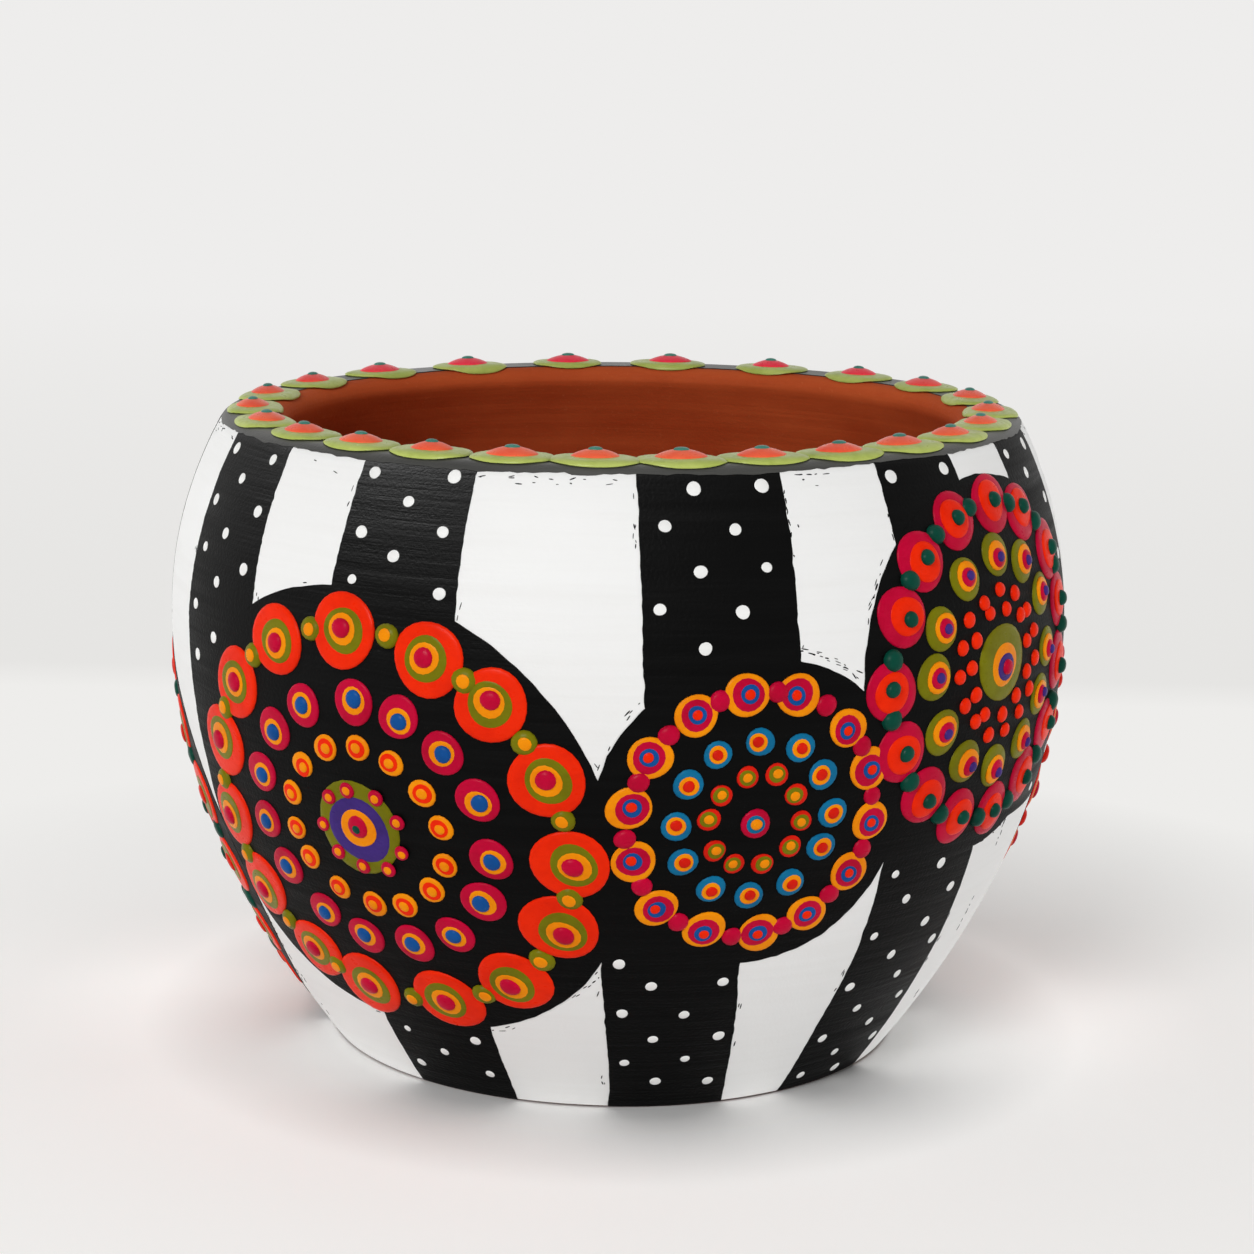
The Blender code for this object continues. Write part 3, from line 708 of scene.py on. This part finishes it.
for shape, values in dotShapes.items():
    pick()
    bpy.ops.mesh.primitive_circle_add(vertices=values["sides"], radius=1.0, fill_type="NGON")
    dot = bpy.context.object
    editAll()
    wide, high = 1.0, 0.0
    for nextWide, nextHigh in values["rings"]:
        bpy.ops.mesh.extrude_region_move(TRANSFORM_OT_translate={"value": (0, 0, nextHigh - high)})
        bpy.ops.transform.resize(value=(nextWide / wide, nextWide / wide, 1), center_override=(0, 0, nextHigh))
        wide, high = nextWide, nextHigh
    bpy.ops.mesh.poke(offset=values["crown"])
    bpy.ops.mesh.select_all(action="SELECT")
    bpy.ops.mesh.normals_make_consistent(inside=False)
    editDone()
    dotModels[shape] = readPoints(dot), [tuple(face.vertices) for face in dot.data.polygons]
    bpy.data.objects.remove(dot)
print("dot shapes:", {shape: len(model[1]) for shape, model in dotModels.items()})

# what the hand leaves uneven from dot to dot, and how deep a dot sits in the one below
dotPlan = dict(outOfRound=(0.030, 0.018), turnDrift=0.045, drift=0.00022, swell=0.030, slip=0.035, sink=0.00008,
               smallBelow=7, seat=0.9, moundSeat=0.82)
paintedDots = {}


# lays a copy of a dot on the wall, a little out of round
def layDot(paint, shape, where, across, up, diameter, foot, rise, dice, stretch=1.0):
    points, faces = dotModels[shape]
    turn = np.arctan2(points[:, 1], points[:, 0])
    oval, corners = dotPlan["outOfRound"]
    a, b = dice.uniform(0, fullTurn, 2)
    out = 1 + oval * np.cos(2 * turn + a) + corners * np.cos(3 * turn + b)
    x = across + points[:, 0] * out * diameter / 2
    y = up + points[:, 1] * out * diameter / 2 * stretch
    bag = paintedDots.setdefault(paint, ([], []))
    start = sum(len(p) for p in bag[0])
    bag[0].append(where(x, y, foot + points[:, 2] * rise))
    bag[1].extend(tuple(start + v for v in face) for face in faces)


for number, medallion in enumerate(medallions):
    dice = np.random.default_rng(seeds["medallion"] + number)
    where = partial(overMedallion, medallion)
    for ring in medallion["rings"]:
        several = ring["count"] > 1
        step = fullTurn / ring["count"]
        loose = ring.get("loose", dotPlan["drift"])
        for k in range(ring["count"]):
            turn = math.radians(ring["start"]) - k * step + dice.normal(0, dotPlan["turnDrift"]) * step
            reach = ring["at"] + (dice.normal(0, loose) if several else 0)
            across = reach * math.cos(turn) * medallion["shape"][0]
            up = reach * math.sin(turn) * medallion["shape"][1]
            if several:
                across, up = across + medallion["shift"][0], up + medallion["shift"][1]
            foot = coats["fieldProud"] - dotPlan["sink"] + ring.get("raised", 0.0) * millimetre
            swell = dice.normal(1.0, dotPlan["swell"])
            for layer, (paint, diameter, rise, shape) in enumerate(ring["dots"]):
                if shape in ("flat", "mound") and diameter < dotPlan["smallBelow"]:
                    shape = "small"
                if layer:
                    slip = dotPlan["slip"] * ring["dots"][layer - 1][1] * millimetre
                    across += dice.normal(0, slip)
                    up += dice.normal(0, slip)
                layDot(paint, shape, where, across, up, diameter * millimetre * swell, foot,
                       rise * millimetre, dice)
                foot += rise * millimetre * dotPlan["moundSeat" if shape == "mound" else "seat"]
print("medallion dots laid:", {paint: len(bag[0]) for paint, bag in paintedDots.items()})

# white spots on the stripes: two and one in turn, or two and two moved over where a stripe is wide
spotPlan = dict(rows=((0.15, 0.84), (0.48,)), wideRows=((0.37, 0.87), (0.13, 0.62)), top=0.0016, topDrift=0.001,
                low=0.0024, pitch=0.0058, widePitch=(0.0069, 0.0083), pitchDrift=0.04, upDrift=0.0006,
                acrossDrift=0.022, edge=0.0016, offField=0.0014, diameter=(0.0022, 0.0027), sizeDrift=0.08,
                rise=0.00012, sink=0.00005)
dice = np.random.default_rng(seeds["marks"])


def clearOfFields(angle, along, margin):
    return all(reachFrom(m, angle, along) > m["field"] + margin for m in medallions)


def nearPot(angle, along, turn=0.0):
    c, s = math.cos(turn), math.sin(turn)
    return lambda x, y, proud: overPot(angle + (x * c - y * s) / radiusAt(along), along + x * s + y * c, proud)


wallTop = float(lipFoot.min())
for stripe in stripes:
    low = alongAt(max(stripe["foot"], spotPlan["low"]))
    row = 0
    along = wallTop - spotPlan["top"] - dice.uniform(0, spotPlan["topDrift"])
    while along > low:
        wide = stripe.get("wide", False) and along < alongAt(stripe.get("closeAbove", rimHeight))
        left, right = (float(edge) for edge in stripeEdges(stripe, along))
        upShare = (along - low) / (wallTop - low)
        for share in spotPlan["wideRows" if wide else "rows"][row % 2]:
            spotAlong = along + dice.normal(0, spotPlan["upDrift"])
            angle = left + (right - left) * (share + dice.normal(0, spotPlan["acrossDrift"]))
            room = min(angle - left, right - angle) * float(radiusAt(spotAlong))
            if room > spotPlan["edge"] and clearOfFields(angle, spotAlong, spotPlan["offField"]):
                diameter = np.interp(upShare, (0, 1), spotPlan["diameter"]) * dice.normal(1, spotPlan["sizeDrift"])
                layDot("white", "spot", nearPot(angle, spotAlong), 0.0, 0.0, diameter,
                       coats["stripeProud"] - spotPlan["sink"], spotPlan["rise"] + spotPlan["sink"], dice)
        step = np.interp(upShare, (0, 1), spotPlan["widePitch"]) if wide else spotPlan["pitch"]
        along -= step * dice.normal(1, spotPlan["pitchDrift"])
        row += 1
print("white spots laid:", len(paintedDots["white"][0]))

# flecks that a dry brush left on the white in patches, along the stripes, the fields and the lip;
# the short whites between a field and the lip stay clean
fleckPlan = dict(stripePatches=5, stripeEach=3, stripeLow=0.01, stripePatch=0.004, offStripe=0.0003,
                 strayStripe=0.0005, fieldPatches=7, fieldEach=10, fieldPatch=0.10, offField=0.0004,
                 strayField=0.0004, byLip=170, offLip=0.0001, strayLip=0.0007, slant=0.2, fieldSlant=0.15,
                 length=(0.0005, 0.0019), width=(0.00016, 0.00034), rise=0.00006, sink=0.00003,
                 low=0.002, margin=0.0002, clean=0.012)


def onWhite(angle, along, margin):
    if not alongAt(fleckPlan["low"]) < along < wallTop or not clearOfFields(angle, along, margin):
        return False
    for stripe in stripes:
        left, right = (float(edge) for edge in stripeEdges(stripe, along))
        gap = margin / float(radiusAt(along))
        if along > alongAt(stripe["foot"]) and (angle - left + gap) % fullTurn < right - left + 2 * gap:
            return False
    return True


def layFleck(angle, along, turn):
    if onWhite(angle, along, fleckPlan["margin"]):
        length, width = dice.uniform(*fleckPlan["length"]), dice.uniform(*fleckPlan["width"])
        foot, rise = coats["whiteProud"] - fleckPlan["sink"], fleckPlan["rise"] + fleckPlan["sink"]
        layDot("fleck", "fleck", nearPot(angle, along, turn), 0.0, 0.0, length, foot, rise, dice,
               stretch=width / length)


for stripe in stripes:
    for side in (0, 1):
        for patch in dice.uniform(alongAt(fleckPlan["stripeLow"]), wallTop, fleckPlan["stripePatches"]):
            for along in patch + dice.normal(0, fleckPlan["stripePatch"], fleckPlan["stripeEach"]):
                angle = float(stripeEdges(stripe, along)[side])
                away = dice.exponential(fleckPlan["strayStripe"]) + fleckPlan["offStripe"]
                slant = math.pi / 2 + dice.normal(0, fleckPlan["slant"])
                layFleck(angle + (2 * side - 1) * away / radiusAt(along), along, slant)
for medallion in medallions:
    for patch in dice.uniform(0, fullTurn, fleckPlan["fieldPatches"]):
        for turn in patch + dice.normal(0, fleckPlan["fieldPatch"], fleckPlan["fieldEach"]):
            reach = medallion["field"] + fleckPlan["offField"] + dice.exponential(fleckPlan["strayField"])
            x = reach * math.cos(turn) * medallion["shape"][0] + medallion["shift"][0]
            y = reach * math.sin(turn) * medallion["shape"][1] + medallion["shift"][1]
            along = float(alongAt(medallion["height"])) + y
            angle = math.radians(medallion["angle"]) + x / float(radiusAt(along))
            slant = turn + math.pi / 2 + dice.normal(0, fleckPlan["fieldSlant"])
            if along < wallTop - fleckPlan["clean"]:
                layFleck(angle, along, slant)
for angle in dice.uniform(0, fullTurn, fleckPlan["byLip"]):
    along = wallTop - fleckPlan["offLip"] - dice.exponential(fleckPlan["strayLip"])
    slant = dice.normal(0, fleckPlan["slant"])
    if clearOfFields(angle, along, fleckPlan["clean"]):
        layFleck(angle, along, slant)
print("flecks laid:", len(paintedDots["fleck"][0]))

otherFinishes = dict(white=whiteDotFinish, fleck=blackFinish)
for paint, (points, faces) in paintedDots.items():
    dots = pieceFrom(paint + "Dots", np.concatenate(points), faces)
    smooth(dots, 60)
    dress(dots, otherFinishes.get(paint) or paintFinishes[paint], "dot_paint")


# the rim: a berry with a tip on a leaf, each made once and copied round the lip
rimPlan = dict(count=24, crowding=0.22, crowdedAt=7.2, start=-4.2, slip=0.0003,
               leafAcross=0.0091, leafOut=0.0061, leafIn=0.0060, leafRise=0.0011, leafDrift=0.03, leafFullness=2.5,
               leafSkew=(0.10, 0.06), berry=0.0049, berryRise=0.0016, berryDrift=0.04, berrySink=0.00030,
               berryOval=(1.06, 0.78), droop=0.35, droopRadius=0.02, tip=0.00145, tipRise=0.00065, tipSeat=0.88)
evenTurns = fullTurn * np.arange(rimPlan["count"]) / rimPlan["count"] + math.radians(rimPlan["start"])
crowdedAt = math.radians(rimPlan["crowdedAt"])
berryAngles = evenTurns - rimPlan["crowding"] * (np.sin(evenTurns - crowdedAt) + math.sin(crowdedAt))


def turnedDot(name, line, sides):
    piece = turnedPiece(name, line, sides)
    facesOut(piece)
    return piece


def copiesJoined(name, model, places):
    copies = []
    for place in places:
        copy = model.copy()
        copy.data = model.data.copy()
        bpy.context.scene.collection.objects.link(copy)
        setPoints(copy, place(readPoints(copy)))
        copies.append(copy)
    bpy.data.objects.remove(model)
    pick(*copies)
    bpy.ops.object.join()
    joined = bpy.context.object
    joined.name = joined.data.name = name
    facesOut(joined)
    smooth(joined, 60)
    return joined


def rimNodes(kind):
    return [f"rim_{kind}_{k + 1:02d}" for k in range(rimPlan["count"])]


# the leaf is a soft round pad; its outline is wide along the lip and it hangs over the outer edge
leafLine = [(0, -0.06), (0.80, -0.06), (0.955, -0.02), (0.998, 0.20), (0.985, 0.40), (0.93, 0.62), (0.84, 0.78),
            (0.70, 0.89), (0.50, 0.96), (0.25, 0.995), (0, 1.0)]
leafModel = turnedDot("leafModel", leafLine, 44)


def leafPlace(k, angle):
    dice = np.random.default_rng(seeds["leaf"] + k)
    wide = rimPlan["leafAcross"] * dice.normal(1, rimPlan["leafDrift"])
    slip = dice.normal(0, rimPlan["slip"], 2)
    skew = dice.normal(*rimPlan["leafSkew"])

    def place(points):
        turn, power = np.arctan2(points[:, 1], points[:, 0]), rimPlan["leafFullness"]
        fuller = (np.abs(np.cos(turn)) ** power + np.abs(np.sin(turn)) ** power) ** (-1 / power)
        across = points[:, 0] * wide * fuller
        out = np.where(points[:, 1] > 0, rimPlan["leafOut"], rimPlan["leafIn"]) * points[:, 1] * fuller
        across = across + skew * out + slip[0]
        along = seatAlong - out + slip[1]
        proud = coats["lipProud"] + points[:, 2] * rimPlan["leafRise"]
        return overPot(angle + across / radiusAt(seatAlong), along, proud)
    return place


rimLeaves = copiesJoined("rimLeaves", leafModel, [leafPlace(k, a) for k, a in enumerate(berryAngles)])
dress(rimLeaves, leafFinish, "leaf_paint", *rimNodes("leaf"))

# berry and tip: a low cone of paint that rises to a bead
berryLine = [(0, 0), (1.0, 0), (1.0, 0.07), (0.95, 0.20), (0.84, 0.40), (0.68, 0.62), (0.50, 0.81), (0.34, 0.94),
             (0.16, 1.0), (0, 1.0)]
tipLine = [(0, 0), (1.0, 0), (1.0, 0.22), (0.90, 0.55), (0.66, 0.82), (0.34, 0.97), (0, 1.0)]
berryModel = turnedDot("berryModel", berryLine, 28)
tipModel = turnedDot("tipModel", tipLine, 16)
seatRadius = float(radiusAt(seatAlong))
berryFoot = rimHeight + coats["lipProud"] + rimPlan["leafRise"] - rimPlan["berrySink"]
tipFoot = berryFoot + rimPlan["berryRise"] * rimPlan["tipSeat"]


def berryPlace(k, angle, wide, rise, foot):
    dice = np.random.default_rng(seeds["berry"] + k)
    slipAcross, slipOut = dice.normal(0, rimPlan["slip"], 2)
    grow = dice.normal(1, rimPlan["berryDrift"])
    ovalAcross, ovalOut = rimPlan["berryOval"]

    def place(points):
        across = points[:, 0] * wide * grow * ovalAcross + slipAcross
        out = seatRadius + points[:, 1] * wide * grow * ovalOut + slipOut
        # the underside droops towards its edge, as the leaf below does
        reach = np.hypot(points[:, 0], points[:, 1]) * wide
        droop = rimPlan["droop"] * reach ** 2 / rimPlan["droopRadius"] * (points[:, 2] < 0.1)
        high = foot + points[:, 2] * rise - droop
        return lean(np.stack([out * math.sin(angle) + across * math.cos(angle),
                              -out * math.cos(angle) + across * math.sin(angle), high], axis=-1))
    return place


rimBerries = copiesJoined("rimBerries", berryModel, [
    berryPlace(k, a, rimPlan["berry"], rimPlan["berryRise"], berryFoot) for k, a in enumerate(berryAngles)])
rimTips = copiesJoined("rimTips", tipModel, [
    berryPlace(k, a, rimPlan["tip"], rimPlan["tipRise"], tipFoot) for k, a in enumerate(berryAngles)])
dress(rimBerries, berryFinish, "berry_paint", *rimNodes("berry"))
dress(rimTips, tipFinish, "berry_paint")
print("rim laid:", rimPlan["count"], "leaves, berries and tips")


# the stage: a pale floor that runs into a pale background, soft light and the camera
floorPlan = dict(radius=4.0, paper=(0.91, 0.905, 0.897), roughness=0.9, specular=0.1,
                 near=(238, 237, 235), far=(230, 229, 227), top=(238, 237, 236), behind=(0.33, 0.37),
                 upwards=(0.4, 1.8), away=(0.12, 0.25), lift=0.44, liftReach=(0.070, 0.108),
                 besideLift=(0.25, 0.04), besideReach=(0.085, 0.14), besideStart=(0.063, 0.073),
                 besideFront=(-0.045, 0.010), besideBack=(0.020, 0.075))
roomPlan = dict(colour=(1.0, 0.995, 0.985, 1), heights=(0.0, 0.8), light=(0.31, 0.13))


# what the camera sees, straight or mirrored, is the plain pale background
def seenRays(tree):
    rays = tree.nodes.new("ShaderNodeLightPath")
    return sums(tree, "MAXIMUM", rays.outputs["Is Camera Ray"],
                sums(tree, "MAXIMUM", rays.outputs["Is Glossy Ray"], rays.outputs["Is Transmission Ray"]))


def mixShaders(tree, factor, first, second):
    mixer = tree.nodes.new("ShaderNodeMixShader")
    for source, socket in zip((factor, first, second), mixer.inputs):
        tree.links.new(source, socket)
    return mixer.outputs["Shader"]


pick()
bpy.ops.mesh.primitive_circle_add(vertices=96, radius=floorPlan["radius"], fill_type="NGON", location=(0, 0, 0))
floor = bpy.context.object
floor.name = "floor"
paper = bpy.data.materials.new("palePaper")
paper.use_nodes = True
tree = paper.node_tree
shader = tree.nodes["Principled BSDF"]
shader.inputs["Base Color"].default_value = (*floorPlan["paper"], 1)
shader.inputs["Roughness"].default_value = floorPlan["roughness"]
shader.inputs["Specular IOR Level"].default_value = floorPlan["specular"]
place, apart = placeOf(tree)
backwards = apart["Y"]
length = tree.nodes.new("ShaderNodeVectorMath")
length.operation = "LENGTH"
tree.links.new(place, length.inputs[0])
reach = length.outputs["Value"]
backdrop = blend(tree, spread(tree, backwards, *floorPlan["upwards"]), srgb(*floorPlan["far"]),
                 srgb(*floorPlan["top"]))
tone = blend(tree, spread(tree, backwards, *floorPlan["behind"]), srgb(*floorPlan["near"]), backdrop)
seen = seenRays(tree)
glow, nearer = tree.nodes.new("ShaderNodeEmission"), tree.nodes.new("ShaderNodeEmission")
for shine in (glow, nearer):
    tree.links.new(tone, shine.inputs["Color"])
# painted light: close to the pot the paper keeps its shadow; further out a glow that only camera and mirror rays
# see lightens it, with more at the sides of the pot
beside = sums(tree, "MULTIPLY", spread(tree, backwards, *floorPlan["besideFront"]),
              spread(tree, backwards, *floorPlan["besideBack"], 1.0, 0.0))
beside = sums(tree, "MULTIPLY", beside, spread(tree, reach, *floorPlan["besideReach"], *floorPlan["besideLift"]))
beside = sums(tree, "MULTIPLY", beside, spread(tree, reach, *floorPlan["besideStart"]))
lifted = sums(tree, "ADD", spread(tree, reach, *floorPlan["liftReach"], 0.0, floorPlan["lift"]), beside)
tree.links.new(sums(tree, "MULTIPLY", seen, lifted), nearer.inputs["Strength"])
together = tree.nodes.new("ShaderNodeAddShader")
tree.links.new(shader.outputs["BSDF"], together.inputs[0])
tree.links.new(nearer.outputs["Emission"], together.inputs[1])
away = sums(tree, "MULTIPLY", seen, spread(tree, reach, *floorPlan["away"]))
tree.links.new(mixShaders(tree, away, together.outputs["Shader"], glow.outputs["Emission"]),
               tree.nodes["Material Output"].inputs["Surface"])
floor.data.materials.append(paper)

world = bpy.data.worlds.new("studio")
bpy.context.scene.world = world
world.use_nodes = True
tree = world.node_tree
room = tree.nodes["Background"]
room.inputs["Color"].default_value = roomPlan["colour"]
plain = tree.nodes.new("ShaderNodeBackground")
plain.inputs["Color"].default_value = srgb(*floorPlan["top"])
# the room is brighter at eye level than overhead
upwards = placeOf(tree, "Generated")[1]["Z"]
tree.links.new(spread(tree, upwards, *roomPlan["heights"], *roomPlan["light"]), room.inputs["Strength"])
tree.links.new(mixShaders(tree, seenRays(tree), room.outputs["Background"], plain.outputs["Background"]),
               tree.nodes["World Output"].inputs["Surface"])

# the fills stand low at the sides and behind
lampPlan = dict(
    keyLight=dict(at=(-0.52, -1.25, 0.80), aim=(0, 0, 0.08), size=(0.5, 0.5), power=11.0),
    topLight=dict(at=(-0.10, -0.30, 1.25), aim=(0, 0, 0.0), size=(0.8, 0.8), power=1.0),
    sheenLight=dict(at=(-0.75, -0.05, 1.15), aim=(0, 0, 0.12), size=(0.9, 0.9), power=70.0),
    fillLight1=dict(at=(1.25, -0.60, 0.13), aim=(0, 0, 0.06), size=(1.0, 0.28), power=7.2),
    fillLight2=dict(at=(-1.30, -0.10, 0.13), aim=(0, 0, 0.06), size=(1.0, 0.28), power=4.0),
    fillLight3=dict(at=(0.95, 1.05, 0.13), aim=(0, 0, 0.06), size=(1.0, 0.28), power=4.5),
    fillLight4=dict(at=(-0.95, 1.05, 0.13), aim=(0, 0, 0.06), size=(1.0, 0.28), power=4.5))


def softbox(name, at, aim, size, power):
    lamp = bpy.data.lights.new(name, "AREA")
    lamp.shape = "RECTANGLE"
    lamp.size, lamp.size_y = size
    lamp.energy = power
    box = bpy.data.objects.new(name, lamp)
    bpy.context.scene.collection.objects.link(box)
    box.location = at
    direction = np.array(aim) - np.array(at)
    box.rotation_euler = Euler((math.acos(-direction[2] / np.linalg.norm(direction)), 0,
                                math.atan2(direction[1], direction[0]) - math.pi / 2))
    return box


onBlack = bpy.data.collections.new("onBlack")
for piece in list(bpy.data.objects):
    if piece.name == "blackStripes" or piece.name.endswith("Field"):
        onBlack.objects.link(piece)
offFloor = bpy.data.collections.new("offFloor")
offFloor.objects.link(floor)
offFloor.collection_objects[0].light_linking.link_state = "EXCLUDE"
for name, values in lampPlan.items():
    lamp = softbox(name, **values)
    if name == "sheenLight":  # a sheen on the shoulders of the black paint
        lamp.light_linking.receiver_collection = onBlack
        lamp.visible_diffuse = False
    elif name.startswith("fillLight"):  # leaves the floor to the key light's shadow
        lamp.light_linking.receiver_collection = offFloor
        lamp.visible_glossy = False

cameraPlan = dict(place=(0.0020, -0.650, 0.2215), pitch=11.36, roll=1.1, lens=83.75, sensor=36.0)
camera = bpy.data.cameras.new("camera")
camera.lens = cameraPlan["lens"]
camera.sensor_width = cameraPlan["sensor"]
cameraPiece = bpy.data.objects.new("camera", camera)
bpy.context.scene.collection.objects.link(cameraPiece)
cameraPiece.location = cameraPlan["place"]
tilt = Euler((math.radians(90 - cameraPlan["pitch"]), 0, 0)).to_matrix()
cameraPiece.rotation_euler = (tilt @ Matrix.Rotation(math.radians(cameraPlan["roll"]), 3, "Z")).to_euler()
bpy.context.scene.camera = cameraPiece
bpy.context.scene.view_settings.view_transform = "Standard"
print("stage set")
